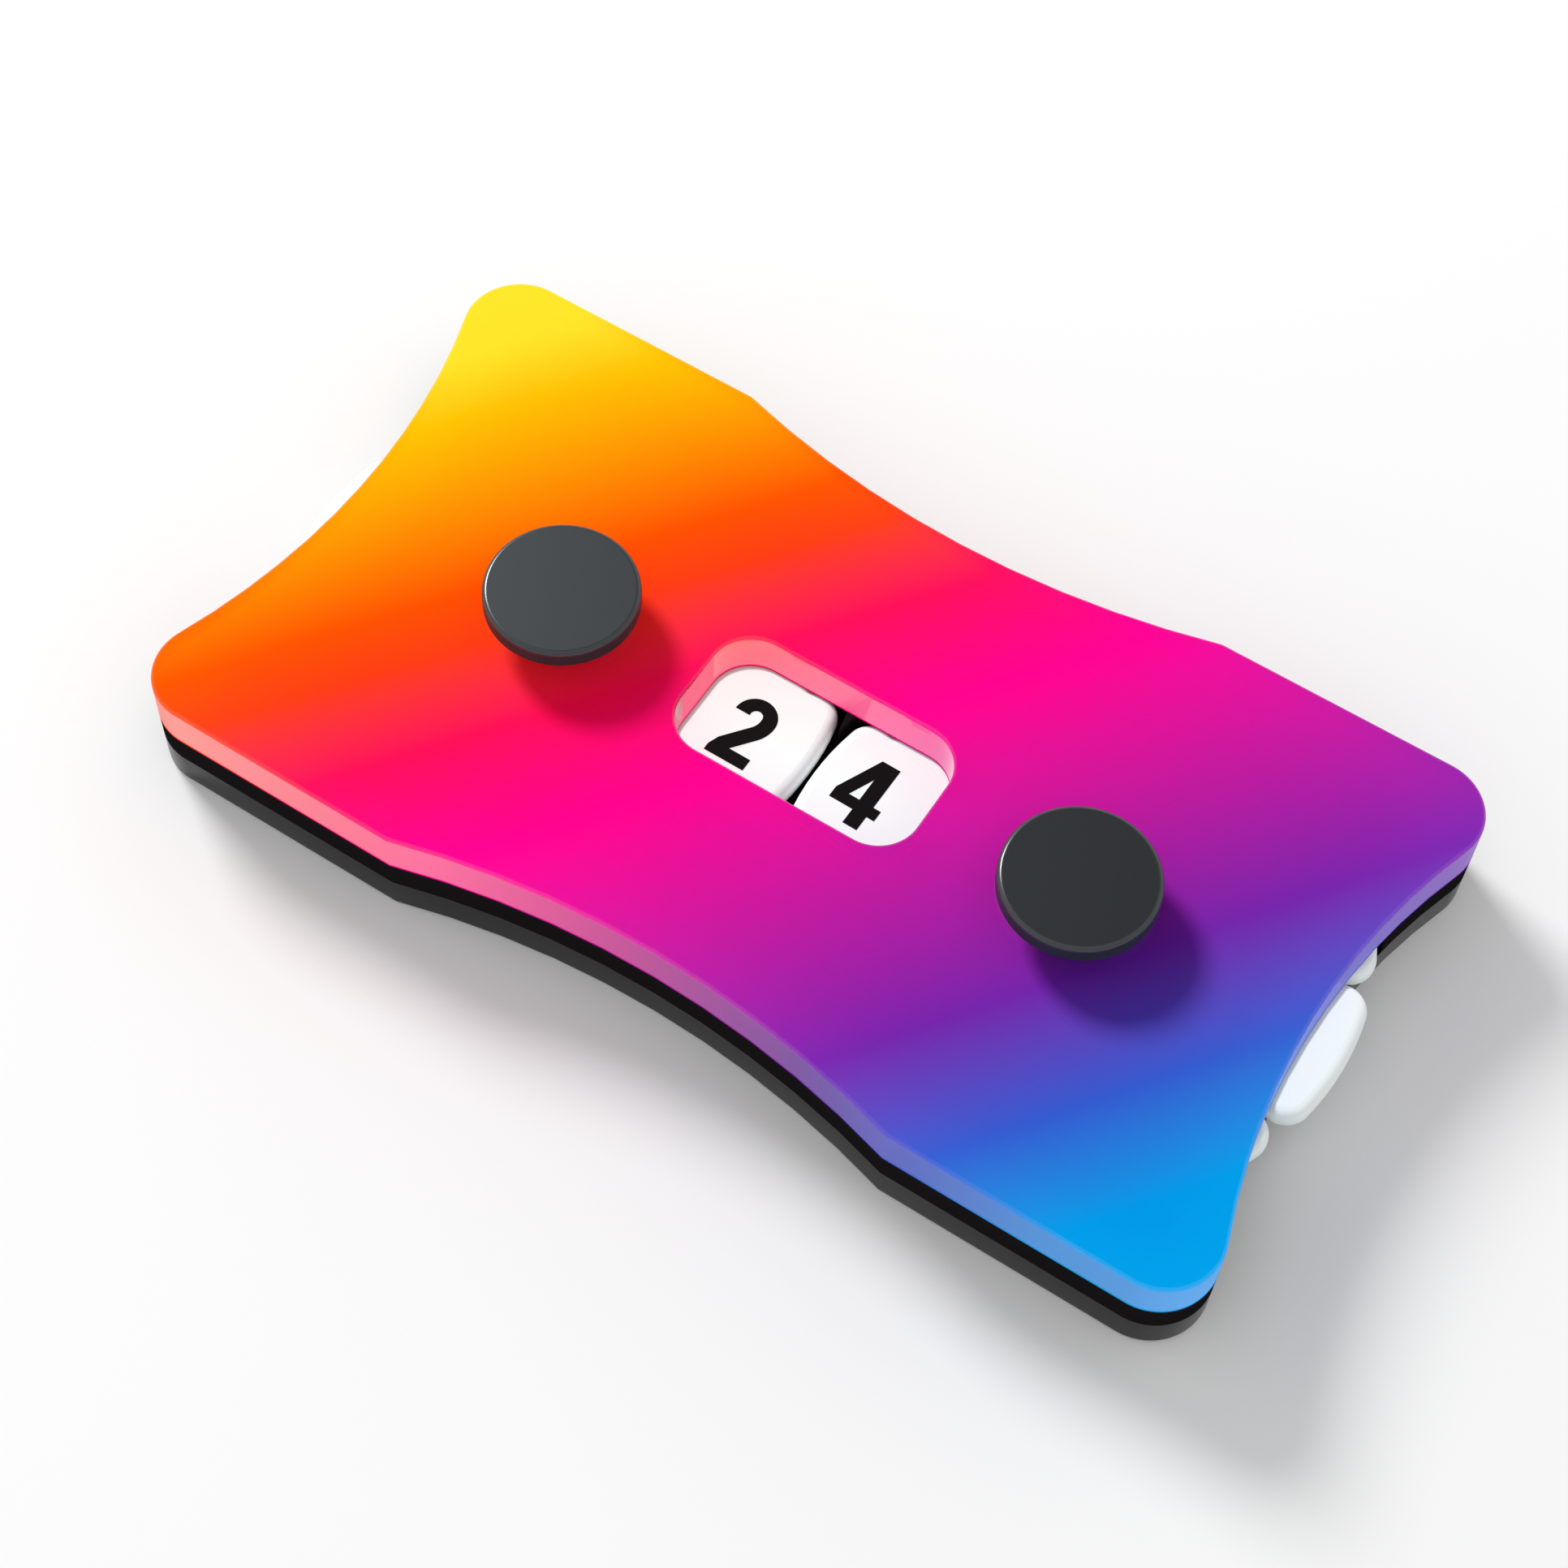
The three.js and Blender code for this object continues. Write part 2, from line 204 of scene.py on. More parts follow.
class LIFECOUNTER_PG_stage(bpy.types.PropertyGroup):
    """Floor, lamps and camera."""

    floor: colour("Floor", "Pale paper sweep", "#fbfbfb")
    floor_size: length("Floor size", "Side of the floor", 6000)
    key_bearing: angle("Key bearing", "Direction of the lamps, from +X", 158)
    key_distance: length("Key distance", "From the counter to the lamps", 1200)
    key_height: angle("Key height", "Key lamp above the horizon", 42)
    key_size: length("Key size", "Diameter of the key lamp", 320)
    key_power: number("Key power", "Watts of the key lamp", 12)
    floor_height: angle("Floor lamp height", "Floor lamp above the horizon", 33)
    floor_lamp_size: length("Floor lamp size", "Diameter of the floor lamp", 420)
    floor_power: number("Floor power", "Watts of the floor lamp", 11.2)
    sky: number("Sky", "Brightness of the studio near the horizon", 1.0)
    ceiling: number("Ceiling", "Brightness of the studio overhead", 0.65)
    wall_top: number("Wall top", "Upward part of a sight line where the walls end", 0.15)
    ceiling_edge: number("Ceiling edge", "Upward part of a sight line where the ceiling begins", 0.5)
    flag_share: number("Flag share", "Part of the studio's brightness that the flag leaves", 0.02)
    flag_bearing: angle("Flag bearing", "Direction of the dark flag, from +X", 120.1)
    flag_height: angle("Flag height", "The flag above the horizon", 58.96)
    flag_reach: angle("Flag reach", "From the flag's middle to its edge", 14)
    flag_blur: angle("Flag blur", "Width of the flag's soft edge", 14)
    camera_bearing: angle("Camera bearing", "Camera round the counter, from the front", 30.0865)
    camera_height: angle("Camera height", "Camera above the horizon", 58.9643)
    camera_roll: angle("Camera roll", "Camera turned about its own axis", 2.9761)
    camera_place: FloatVectorProperty(
        name="Camera place",
        description="Where the camera stands",
        default=(57.25 * MM, -102.78 * MM, 198.2 * MM),
        subtype="TRANSLATION",
        unit="LENGTH",
    )
    lens: FloatProperty(name="Lens", description="Focal length", default=70.83, unit="CAMERA")


# Drawing outlines

def arc_steps(turn):
    return max(2, round(abs(turn) / ARC_STEP))


def sketch(start, moves, z=0.0):
    """A small mesh of edges that run from start, straight to a point (x, y) or about a centre by an angle
    ((x, y), angle)."""
    outline = bmesh.new()
    tip = outline.verts.new((*start, z))
    for where, target in moves:
        if isinstance(where, tuple):
            arc = bmesh.ops.spin(
                outline, geom=[tip], cent=(*where, z), axis=UP, angle=target, steps=arc_steps(target)
            )
            tip = arc["geom_last"][0]
        else:
            tip = bmesh.ops.extrude_vert_indiv(outline, verts=[tip])["verts"][0]
            tip.co = (where, target, z)
    return outline


def mirrored(outline, axes):
    """The outline with its mirror images, which join where they meet."""
    for axis in axes:
        everything = outline.verts[:] + outline.edges[:]
        bmesh.ops.mirror(outline, geom=everything, matrix=Matrix.Identity(4), merge_dist=WELD, axis=axis)
    return outline


def turn(bm, angle):
    bmesh.ops.rotate(bm, verts=bm.verts, cent=(0, 0, 0), matrix=Matrix.Rotation(angle, 3, "Z"))


def spin(bm, angle, steps, **settings):
    """Turns everything about the Z axis in steps, either as copies or with faces between them."""
    everything = bm.verts[:] + bm.edges[:]
    bmesh.ops.spin(bm, geom=everything, cent=(0, 0, 0), axis=UP, angle=angle, steps=steps, **settings)


def shift(bm, *way):
    bmesh.ops.translate(bm, verts=bm.verts, vec=way)


def baked(bm, name):
    """Turns an edit mesh into a stored one."""
    mesh = bpy.data.meshes.new(name)
    bm.to_mesh(mesh)
    bm.free()
    return mesh


def placed(bm, part):
    """Moves a small mesh into a larger one, and gives back its edges there. Outlines are drawn apart and
    moved, because an operator takes longer the more there is in its mesh."""
    bmesh.ops.remove_doubles(part, verts=part.verts, dist=WELD)
    carrier = baked(part, "carrier")
    known = set(bm.edges)
    bm.from_mesh(carrier)
    bpy.data.meshes.remove(carrier)
    return [e for e in bm.edges if e not in known]


def wall(outlines):
    """A wall through outlines in order."""
    bm = bmesh.new()
    loops = [placed(bm, outline) for outline in outlines]
    for lower, upper in zip(loops, loops[1:]):
        bmesh.ops.bridge_loops(bm, edges=lower + upper)
    return bm


def closed(walls, *heights):
    """A solid from its walls, closed at each height by a flat face with its holes. The fill works in
    millimetres, because it loses details below 0.03 units."""
    bm = bmesh.new()
    for part in walls:
        placed(bm, part)
    bmesh.ops.scale(bm, verts=bm.verts, vec=(1 / MM,) * 3)
    for z in heights:
        rims = [e for e in bm.edges if e.is_boundary and all(abs(v.co.z * MM - z) < WELD for v in e.verts)]
        bmesh.ops.triangle_fill(bm, edges=rims)
    bmesh.ops.scale(bm, verts=bm.verts, vec=(MM,) * 3)
    return bm


def edge_levels(bottom, top, bottom_round=0.0, top_round=0.0):
    """Heights and insets that carry an outline up the side of a solid with rounded edges."""
    turns = [QUARTER * i / EDGE_STEPS for i in range(EDGE_STEPS + 1)]
    lower = [(bottom + bottom_round * (1 - math.cos(a)), bottom_round * (1 - math.sin(a))) for a in turns]
    upper = [(top - top_round * (1 - math.sin(a)), top_round * (1 - math.cos(a))) for a in turns]
    return (lower if bottom_round else lower[:1]) + (upper if top_round else upper[:1])


def turned(start, moves):
    """A turned solid about the Z axis, from a profile of radius and height."""
    bm = sketch(start, moves)
    bmesh.ops.rotate(bm, verts=bm.verts, cent=(0, 0, 0), matrix=Matrix.Rotation(QUARTER, 3, "X"))
    spin(bm, 2 * math.pi, TURNING_STEPS, use_merge=True)
    bmesh.ops.remove_doubles(bm, verts=bm.verts, dist=WELD)
    return bm


# Outlines of this counter. An inset is how far the material stays back from the drawn size.

def ring(x, radius, z):
    """A full circle about a vertical line through the X axis."""
    return sketch((x + radius, 0), [((x, 0), 2 * math.pi)], z)


class PlateOutline:
    """The outline that all plates share, as moves from a short end's middle to a long side's middle."""

    def __init__(self, plates, inset):
        corner = plates.corner_radius
        self.corner = Vector((HALF_LENGTH - corner, HALF_WIDTH - corner))
        reach = (plates.end_scoop**2 + self.corner.y**2) / (2 * plates.end_scoop)
        self.end_radius = reach - corner + inset
        self.end_x = HALF_LENGTH - plates.end_scoop + reach - corner
        self.turn = math.asin(self.corner.y / reach)
        scoop_end = PIVOTS["right"] - plates.scoop_inset
        side_radius = (scoop_end**2 + plates.side_scoop**2) / (2 * plates.side_scoop)
        side_y = HALF_WIDTH - plates.side_scoop + side_radius
        kink = math.asin((side_y - HALF_WIDTH + inset) / (side_radius + inset))
        kink_x = (side_radius + inset) * math.cos(kink)
        self.start = (self.end_x - self.end_radius, 0.0)
        self.end_arc = ((self.end_x, 0.0), -self.turn)
        self.rest = [
            (tuple(self.corner), self.turn + QUARTER),
            (kink_x, HALF_WIDTH - inset),
            ((0.0, side_y), kink - QUARTER),
        ]


def plate_outline(plates, inset, z):
    outline = PlateOutline(plates, inset)
    return mirrored(sketch(outline.start, [outline.end_arc, *outline.rest], z), "XY")


def window_outline(plates, inset, z):
    x = plates.window_length / 2 - plates.window_corner
    y = plates.window_width / 2 - plates.window_corner
    radius = plates.window_corner + inset
    return mirrored(sketch((x + radius, 0), [(x + radius, y), ((x, y), QUARTER), (0, y + radius)], z), "XY")


def pierced_walls(plates, levels, hole_radius):
    """Walls of a sheet with the window and a hole at each pivot, from heights with their insets."""
    outlines = (plate_outline, window_outline)
    walls = [wall([outline(plates, inset, z) for z, inset in levels]) for outline in outlines]
    ends = (levels[0][0], levels[-1][0])
    return walls + [wall([ring(x, hole_radius, z) for z in ends]) for x in PIVOTS.values()]


def spacer_outline(plates, side, inset, z):
    """One half of the middle layer: the plate's outline, less the two round pockets of the wheels."""
    outline = PlateOutline(plates, inset)
    pivot = PIVOTS["right"]
    pocket = WHEEL_RADIUS + plates.pocket_clearance + inset
    tip = math.sqrt(pocket**2 - pivot**2)
    apart = outline.end_x - pivot
    meet_x = (apart**2 + pocket**2 - outline.end_radius**2) / (2 * apart)
    meet_y = math.sqrt(pocket**2 - meet_x**2)
    pocket_turn = math.pi - math.asin(tip / pocket) - math.atan2(meet_y, meet_x)
    end_turn = outline.turn - math.asin(meet_y / outline.end_radius)
    moves = [((pivot, 0.0), -pocket_turn), ((outline.end_x, 0.0), -end_turn), *outline.rest]
    half = mirrored(sketch((0, tip), moves, z), "X")
    bmesh.ops.scale(half, verts=half.verts, vec=(1, side, 1))
    return half


def petal_outline(wheels, inset, z):
    """Rim of a wheel: petals with rounded corners, parted by narrow round-ended notches."""
    pitch = 2 * math.pi / PETALS
    half_notch = wheels.notch_width / 2
    corner_y = half_notch + wheels.petal_corner
    reach = WHEEL_RADIUS - wheels.petal_corner
    lean = math.asin(corner_y / reach)
    corner_x = reach * math.cos(lean)
    radius = wheels.petal_corner - inset
    root_x = corner_x - wheels.notch_flank
    start = (corner_x + radius * math.cos(lean), -corner_y - radius * math.sin(lean))
    moves = [
        ((corner_x, -corner_y), QUARTER + lean),
        (root_x, -half_notch - inset),
        ((root_x, 0.0), -math.pi),
        (corner_x, half_notch + inset),
        ((corner_x, corner_y), QUARTER + lean),
        ((0.0, 0.0), pitch - 2 * lean),
    ]
    rim = sketch(start, moves, z)
    turn(rim, pitch / 2)
    spin(rim, 2 * math.pi - pitch, PETALS - 1, use_duplicate=True)
    return rim


# Figures, drawn about their middle in bold condensed strokes

def stadium(half_width, low, high):
    """A loop of two half circles about (0, low) and (0, high)."""
    moves = [(half_width, high), ((0.0, high), math.pi), (-half_width, low), ((0.0, low), math.pi)]
    return (half_width, low), moves


def loop(start, *moves):
    """A loop that ends straight back at its start."""
    return start, [*moves, start]


def figure_loops(sizes):
    """The outlines of the figures 0 to 9: each is a loop, and any further loops are its counters. The bare
    numbers are proportions of the lettering."""
    w = sizes.figure_width / 2
    h = sizes.figure_height / 2
    s = sizes.figure_stem
    b = sizes.figure_bar
    c = w - s  # half of a counter's width
    bowl = h - w  # height of the middle of a bowl that reaches the top
    inner = h - b - c  # height of the middle of that bowl's counter
    lean = math.radians(38)  # of the diagonal of the two, from upright
    sweep = w + s * 0.67  # radius of the bend from its bowl into the diagonal
    sweep_x = w - sweep
    foot_x = sweep_x + sweep * math.cos(lean) - (h - b + bowl - sweep * math.sin(lean)) * math.tan(lean)
    neck = (sweep_x + (sweep - s) * math.cos(lean), bowl - (sweep - s) * math.sin(lean))
    heel_y = -h + b + s * 0.35
    heel_x = neck[0] - (neck[1] - heel_y) * math.tan(lean)
    two = loop(
        (-w, bowl),
        ((0.0, bowl), -math.pi),
        ((sweep_x, bowl), -lean),
        (foot_x, b - h),
        (w, b - h),
        (w, -h),
        (-w, -h),
        (-w, s / 2 - h),
        (heel_x, heel_y),
        neck,
        ((sweep_x, bowl), lean),
        (c, inner),
        ((0.0, inner), math.pi),
        (-c, bowl),
    )
    crown = w * 0.93  # the upper bowls of 3 and 8 are a little smaller
    crown_y = h - crown
    waist = (crown_y**2 - bowl**2 - crown**2 + w**2) / (2 * (crown_y + bowl))  # where the bowls meet
    waist_x = math.sqrt(w**2 - (waist + bowl) ** 2)
    upper_waist = math.atan2(crown_y - waist, waist_x)
    lower_waist = math.atan2(waist + bowl, waist_x)
    d = crown - s * 0.96  # half of the upper counter's width
    crown_inner = h - b - d
    belly = b * 0.47 - bowl + c  # height of the upper middle of the six's counter
    tongue = c * 0.8
    three = loop(
        (-crown, crown_y),
        ((0.0, crown_y), -math.pi - upper_waist),
        ((0.0, -bowl), -math.pi - lower_waist),
        (-c, -bowl),
        (-c, -inner),
        ((0.0, -inner), math.pi),
        (c, -b / 2 - c),
        ((0.0, -b / 2 - c), QUARTER),
        (-tongue, -b / 2),
        (-tongue, b / 2),
        (0.0, b / 2),
        ((0.0, b / 2 + d), QUARTER),
        (d, crown_inner),
        ((0.0, crown_inner), math.pi),
        (-d, crown_y),
    )
    four_x = w * 1.14
    stem_left = w * 0.05
    stem_right = stem_left + s
    shelf = -h * 0.24
    shelf_low = shelf - b * 0.9
    four = [
        loop(
            (-w * 0.15, h),
            (stem_right, h),
            (stem_right, shelf),
            (four_x, shelf),
            (four_x, shelf_low),
            (stem_right, shelf_low),
            (stem_right, -h),
            (stem_left, -h),
            (stem_left, shelf_low),
            (-four_x, shelf_low),
            (-four_x, shelf),
        ),
        loop((stem_left, h * 0.44), (-w * 0.49, shelf), (stem_left, shelf)),
    ]
    spring = math.radians(108)  # how far the bowls of 5 and 6 are drawn round beyond their right side
    roof_x = w * 0.86
    five_y = bowl * 0.5
    five = loop(
        (-roof_x, h),
        (roof_x, h),
        (roof_x, h - b),
        (-w * 0.24, h - b),
        (w * math.cos(spring), w * math.sin(spring) - five_y),
        ((0.0, -five_y), -spring),
        (w, -bowl),
        ((0.0, -bowl), -math.pi),
        (-c, -bowl),
        (-c, -inner),
        ((0.0, -inner), math.pi),
        (c, -five_y),
        ((0.0, -five_y), math.pi),
        (-c, -five_y - c * 0.3),
        (-w * 0.96, -five_y),
    )
    six_y = bowl * 0.62
    six = [
        loop(
            (w, bowl),
            ((0.0, bowl), math.pi),
            (-w, -bowl),
            ((0.0, -bowl), math.pi),
            (w, -six_y),
            ((0.0, -six_y), spring),
            (-c, w * math.sin(spring) - six_y),
            (-c, inner),
            ((0.0, inner), -math.pi),
            (c, bowl),
        ),
        stadium(c, -inner, belly),
    ]
    seven = loop(
        (-w, h), (w, h), (w, h - b), (w * 0.18, -h), (-w * 0.56, -h), (w * 0.26, h - b), (-w, h - b)
    )
    eight = [
        (
            (waist_x, waist),
            [((0.0, crown_y), math.pi + 2 * upper_waist), ((0.0, -bowl), math.pi + 2 * lower_waist)],
        ),
        stadium(d, b / 2 + d, crown_inner),
        stadium(c, -inner, -b / 2 - c),
    ]
    right_x = w * 0.44
    beak_x = -w * 0.8
    one = loop(
        (right_x, -h),
        (right_x, h),
        (-w * 0.1, h),
        (beak_x, h - s * 0.62),
        (beak_x, h - s * 1.6),
        (right_x - s, h - s * 1.22),
        (right_x - s, -h),
    )
    zero = [stadium(w, -bowl, bowl), stadium(c, -inner, inner)]
    nine = six  # turned round where it is printed
    return [zero, [one], [two], [three], four, [five], six, [seven], eight, nine]


# Finishes

WHITE = linear("#ffffff")
ACRYLIC_IOR = 1.49
PRINT_ANGLE = math.radians(36.2)  # the gradient runs down to the right at this angle
PRINT_REACH = 46.2 * MM  # from the middle to either end of the gradient
PRINT_STOPS = (
    (0.03, "#f9de2b"),
    (0.09, "#f9c104"),
    (0.26, "#f95802"),
    (0.31, "#f94418"),
    (0.39, "#f91260"),
    (0.49, "#f90398"),
    (0.75, "#7f2cb2"),
    (0.85, "#3c64d2"),
    (0.94, "#01a2e6"),
)


def add_node(tree, kind, inputs=None, **settings):
    """Adds a shader node with its settings. An input is a value, a socket, or a node whose first output is
    linked."""
    node = tree.nodes.new(f"ShaderNode{kind}")
    for name, value in settings.items():
        setattr(node, name, value)
    for socket, value in (inputs or {}).items():
        if isinstance(value, bpy.types.Node):
            value = value.outputs[0]
        if isinstance(value, bpy.types.NodeSocket):
            tree.links.new(value, node.inputs[socket])
        else:
            node.inputs[socket].default_value = value
    return node


def new_material(name):
    material = bpy.data.materials.new(name)
    material.use_nodes = True
    material.node_tree.nodes.clear()
    return material, material.node_tree


def grain(tree, size, detail=2.0):
    """An even pattern whose spots are about one size across. Real grain of a few hundredths of a millimetre
    is drawn at a tenth or more, because it wouldn't show any finer."""
    place = add_node(tree, "TexCoord").outputs["Object"]
    return add_node(tree, "TexNoise", {"Vector": place, "Scale": 1 / size, "Detail": detail})


def print_colour(tree):
    """The printed gradient from yellow over magenta to blue."""
    inputs = {
        "Vector": add_node(tree, "TexCoord").outputs["Object"],
        "Location": (0.5, 0, 0),
        "Rotation": (0, 0, PRINT_ANGLE),
        "Scale": (0.5 / PRINT_REACH,) * 3,
    }
    along = add_node(tree, "SeparateXYZ", {"Vector": add_node(tree, "Mapping", inputs)})
    ramp = add_node(tree, "ValToRGB", {"Fac": along})
    stops = ramp.color_ramp.elements
    for share, _ in PRINT_STOPS[:-2]:  # a new ramp has two stops already
        stops.new(share)
    for stop, (share, code) in zip(stops, PRINT_STOPS):
        stop.position = share
        stop.color = linear(code)
    return ramp


def light_path(tree):
    """Sockets that are 1 for rays to the lamps, for diffuse rays, on the inner side of a surface, and for
    rays that start near it."""
    path = add_node(tree, "LightPath").outputs
    inside = add_node(tree, "NewGeometry").outputs["Backfacing"]
    near = add_node(tree, "Math", {0: path["Ray Length"], 1: LIT_THROUGH}, operation="LESS_THAN")
    return path["Is Shadow Ray"], path["Is Diffuse Ray"], inside, near


def polished_acrylic(name, veil):
    """Clear cast acrylic, polished, with a share of fine white haze. Light that leaves the print steeply
    passes straight out, so that it isn't lost. The rest is thrown back on the print, which deepens its colour
    in the shadows of the caps."""
    material, tree = new_material(name)
    shadow, diffuse, inside, near = light_path(tree)
    glass_inputs = {"Base Color": WHITE, "Roughness": 0.02, "IOR": ACRYLIC_IOR, "Transmission Weight": 1.0}
    glass = add_node(tree, "BsdfPrincipled", glass_inputs)
    haze = add_node(tree, "BsdfDiffuse", {"Color": WHITE})
    veiled = add_node(tree, "MapRange", {"Value": inside, "To Min": veil, "To Max": 0.0})
    seen = add_node(tree, "MixShader", {0: veiled, 1: glass, 2: haze})
    clear = add_node(tree, "BsdfTransparent")
    mirror = add_node(tree, "BsdfGlossy", {"Color": WHITE, "Roughness": 0.0})
    fresnel = add_node(tree, "Fresnel", {"IOR": ACRYLIC_IOR})
    leaving = add_node(tree, "Math", {0: diffuse, 1: inside}, operation="MULTIPLY")
    kept_in = add_node(tree, "Math", {0: fresnel, 1: leaving}, operation="MULTIPLY")
    passed = add_node(tree, "MixShader", {0: kept_in, 1: clear, 2: mirror})
    lighting = add_node(tree, "Math", {0: shadow, 1: diffuse}, operation="MAXIMUM")
    within_reach = add_node(tree, "Math", {0: inside, 1: near}, operation="MAXIMUM")
    lit = add_node(tree, "Math", {0: lighting, 1: within_reach}, operation="MULTIPLY")
    surface = add_node(tree, "MixShader", {0: lit, 1: seen, 2: passed})
    add_node(tree, "OutputMaterial", {"Surface": surface})
    return material


def cut_acrylic(left_painted_light, right_painted_light):
    """Cut edge of the clear acrylic, sanded to a satin. Its colour is painted light: the print's colour
    stands in for the print's light glowing in the edge, and is paled towards white as painted lamp light,
    more at the left end, where the lamp shines, than at the right. From inside the plate it mirrors, as the
    edge of a clear sheet does."""
    material, tree = new_material("clear_cast_acrylic_rim")
    shadow, diffuse, inside, near = light_path(tree)
    place = add_node(tree, "TexCoord").outputs["Object"]
    stretch = {
        "Value": add_node(tree, "SeparateXYZ", {"Vector": place}),
        "From Min": -HALF_LENGTH,
        "From Max": 0.0,
        "To Min": left_painted_light,
        "To Max": right_painted_light,
    }
    # Painted light: white mixed into the print's colour stands in for lamp light on the edge, more at the
    # left end, where the lamp shines.
    painted_light_share = add_node(tree, "MapRange", stretch, interpolation_type="SMOOTHSTEP")
    # The colours of a Mix node go in at sockets 6 and 7 and come out at socket 2
    painted_glow_mix = add_node(tree, "Mix", {0: painted_light_share, 6: print_colour(tree), 7: WHITE}, data_type="RGBA")
    painted_glow_colour = painted_glow_mix.outputs[2]
    frosted = add_node(tree, "Bump", {"Height": grain(tree, 0.12 * MM), "Distance": 0.004 * MM})
    satin_inputs = {"Base Color": painted_glow_colour, "Roughness": 0.4, "IOR": ACRYLIC_IOR, "Normal": frosted}
    satin = add_node(tree, "BsdfPrincipled", satin_inputs)
    glow = add_node(tree, "BsdfTranslucent", {"Color": painted_glow_colour})
    seen = add_node(tree, "MixShader", {0: 0.5, 1: satin, 2: glow})
    clear = add_node(tree, "BsdfTransparent")
    mirror = add_node(tree, "BsdfGlossy", {"Color": WHITE, "Roughness": 0.03})
    shining_in = add_node(tree, "Math", {0: shadow, 1: near}, operation="MULTIPLY")
    unseen = add_node(tree, "Math", {0: diffuse, 1: shining_in}, operation="MAXIMUM")
    outer = add_node(tree, "MixShader", {0: unseen, 1: seen, 2: clear})
    lighting = add_node(tree, "Math", {0: shadow, 1: diffuse}, operation="MAXIMUM")
    inner = add_node(tree, "MixShader", {0: lighting, 1: mirror, 2: clear})
    surface = add_node(tree, "MixShader", {0: inside, 1: outer, 2: inner})
    add_node(tree, "OutputMaterial", {"Surface": surface})
    return material


def printed_film():
    """Opaque film under the face plate, printed with the gradient in fine dots that show as an unevenness."""
    material, tree = new_material("printed_film")
    dots = grain(tree, 0.25 * MM, detail=3.0)
    cover = add_node(tree, "MapRange", {"Value": dots, "To Min": 0.97, "To Max": 1.03})
    tone = add_node(tree, "HueSaturation", {"Color": print_colour(tree), "Value": cover})
    film = add_node(tree, "BsdfPrincipled", {"Base Color": tone, "Roughness": 0.5, "Specular IOR Level": 0.0})
    add_node(tree, "OutputMaterial", {"Surface": film})
    return material


def grained(name, inputs, spot, roughness, depth=None, tones=None, detail=2.0):
    """An opaque finish whose roughness, and relief and tone if they are given, vary over spots of a size."""
    material, tree = new_material(name)
    spots = grain(tree, spot, detail)
    low, high = roughness
    inputs["Roughness"] = add_node(tree, "MapRange", {"Value": spots, "To Min": low, "To Max": high})
    if depth:
        inputs["Normal"] = add_node(tree, "Bump", {"Height": spots, "Distance": depth})
    if tones:
        low, high = tones
        tone = add_node(tree, "MapRange", {"Value": spots, "To Min": low, "To Max": high})
        toned = {"Color": inputs["Base Color"], "Value": tone}
        inputs["Base Color"] = add_node(tree, "HueSaturation", toned)
    shader = add_node(tree, "BsdfPrincipled", inputs)
    add_node(tree, "OutputMaterial", {"Surface": shader})
    return material


def sheet_acrylic(name, base, roughness, gloss):
    """Solid-coloured acrylic sheet, cut by laser: glossy, with a faint ripple along the cut."""
    inputs = {"Base Color": base, "Specular IOR Level": gloss}
    spread = (roughness * 0.9, roughness * 1.1)
    return grained(name, inputs, spot=0.4 * MM, roughness=spread, depth=0.006 * MM)


def moulded_plastic(base):
    """White moulded plastic with a fine spark-eroded skin, softly glossy."""
    inputs = {"Base Color": base, "IOR": 1.48}
    return grained("moulded_white_plastic", inputs, spot=0.15 * MM, roughness=(0.3, 0.4), depth=0.002 * MM)


def printing_ink(base):
    """Matt pad-printing ink with slightly uneven cover."""
    inputs = {"Base Color": base, "Specular IOR Level": 0.05}
    return grained("pad_printing_ink", inputs, spot=0.2 * MM, roughness=(0.5, 0.65))


def dyed_oxide(name, base, roughness, gloss):
    """Turned aluminium with its dyed oxide skin: dark and dull on the side, with a glint on the edge."""
    inputs = {"Base Color": base, "IOR": 1.6, "Specular IOR Level": gloss}
    return grained(name, inputs, spot=0.1 * MM, roughness=(roughness * 0.9, roughness * 1.1))


def anodised_aluminium(base):
    """Bead-blasted and anodised aluminium: an even satin that spreads highlights."""
    inputs = {"Base Color": base, "Metallic": 1.0}
    satin = (0.44, 0.5)
    return grained(
        "anodised_aluminium", inputs, spot=0.1 * MM, roughness=satin, depth=0.0015 * MM, detail=3.0
    )


def steel(name, base, roughness):
    """Steel with fine rolling or turning marks that break up its gloss."""
    inputs = {"Base Color": base, "Metallic": 1.0}
    spread = (roughness * 0.85, roughness * 1.15)
    return grained(name, inputs, spot=0.15 * MM, roughness=spread, depth=0.002 * MM, detail=3.0)


def matt_polymer(name, base, gloss):
    """Cut sheet or film with a dull, slightly mottled surface."""
    inputs = {"Base Color": base, "Specular IOR Level": gloss}
    return grained(name, inputs, spot=0.3 * MM, roughness=(0.5, 0.6), tones=(0.94, 1.06))


# Making pieces

def add_object(name, data):
    thing = bpy.data.objects.new(name, data)
    bpy.context.scene.collection.objects.link(thing)
    return thing


def add_piece(name, bm, body, nodes, materials):
    """Makes a closed mesh an object on its body, and hides the solids that it stands for."""
    bmesh.ops.remove_doubles(bm, verts=bm.verts, dist=WELD)
    bmesh.ops.recalc_face_normals(bm, faces=bm.faces)
    if any(not e.is_manifold for e in bm.edges):
        raise RuntimeError(f"the mesh of {name} isn't closed")
    for face in bm.faces:
        face.smooth = abs(face.normal.z) < LEVEL
    for edge in bm.edges:
        edge.smooth = edge.calc_face_angle(0.0) < SHARP_ANGLE
    mesh = baked(bm, name)
    for material in materials:
        mesh.materials.append(material)
    piece = add_object(name, mesh)
    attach(piece, body)
    if nodes:
        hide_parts(*nodes)
    return piece


def direction(bearing, height):
    """A unit vector at a bearing from +X and a height above the horizon."""
    return Vector(
        (math.cos(bearing) * math.cos(height), math.sin(bearing) * math.cos(height), math.sin(height))
    )


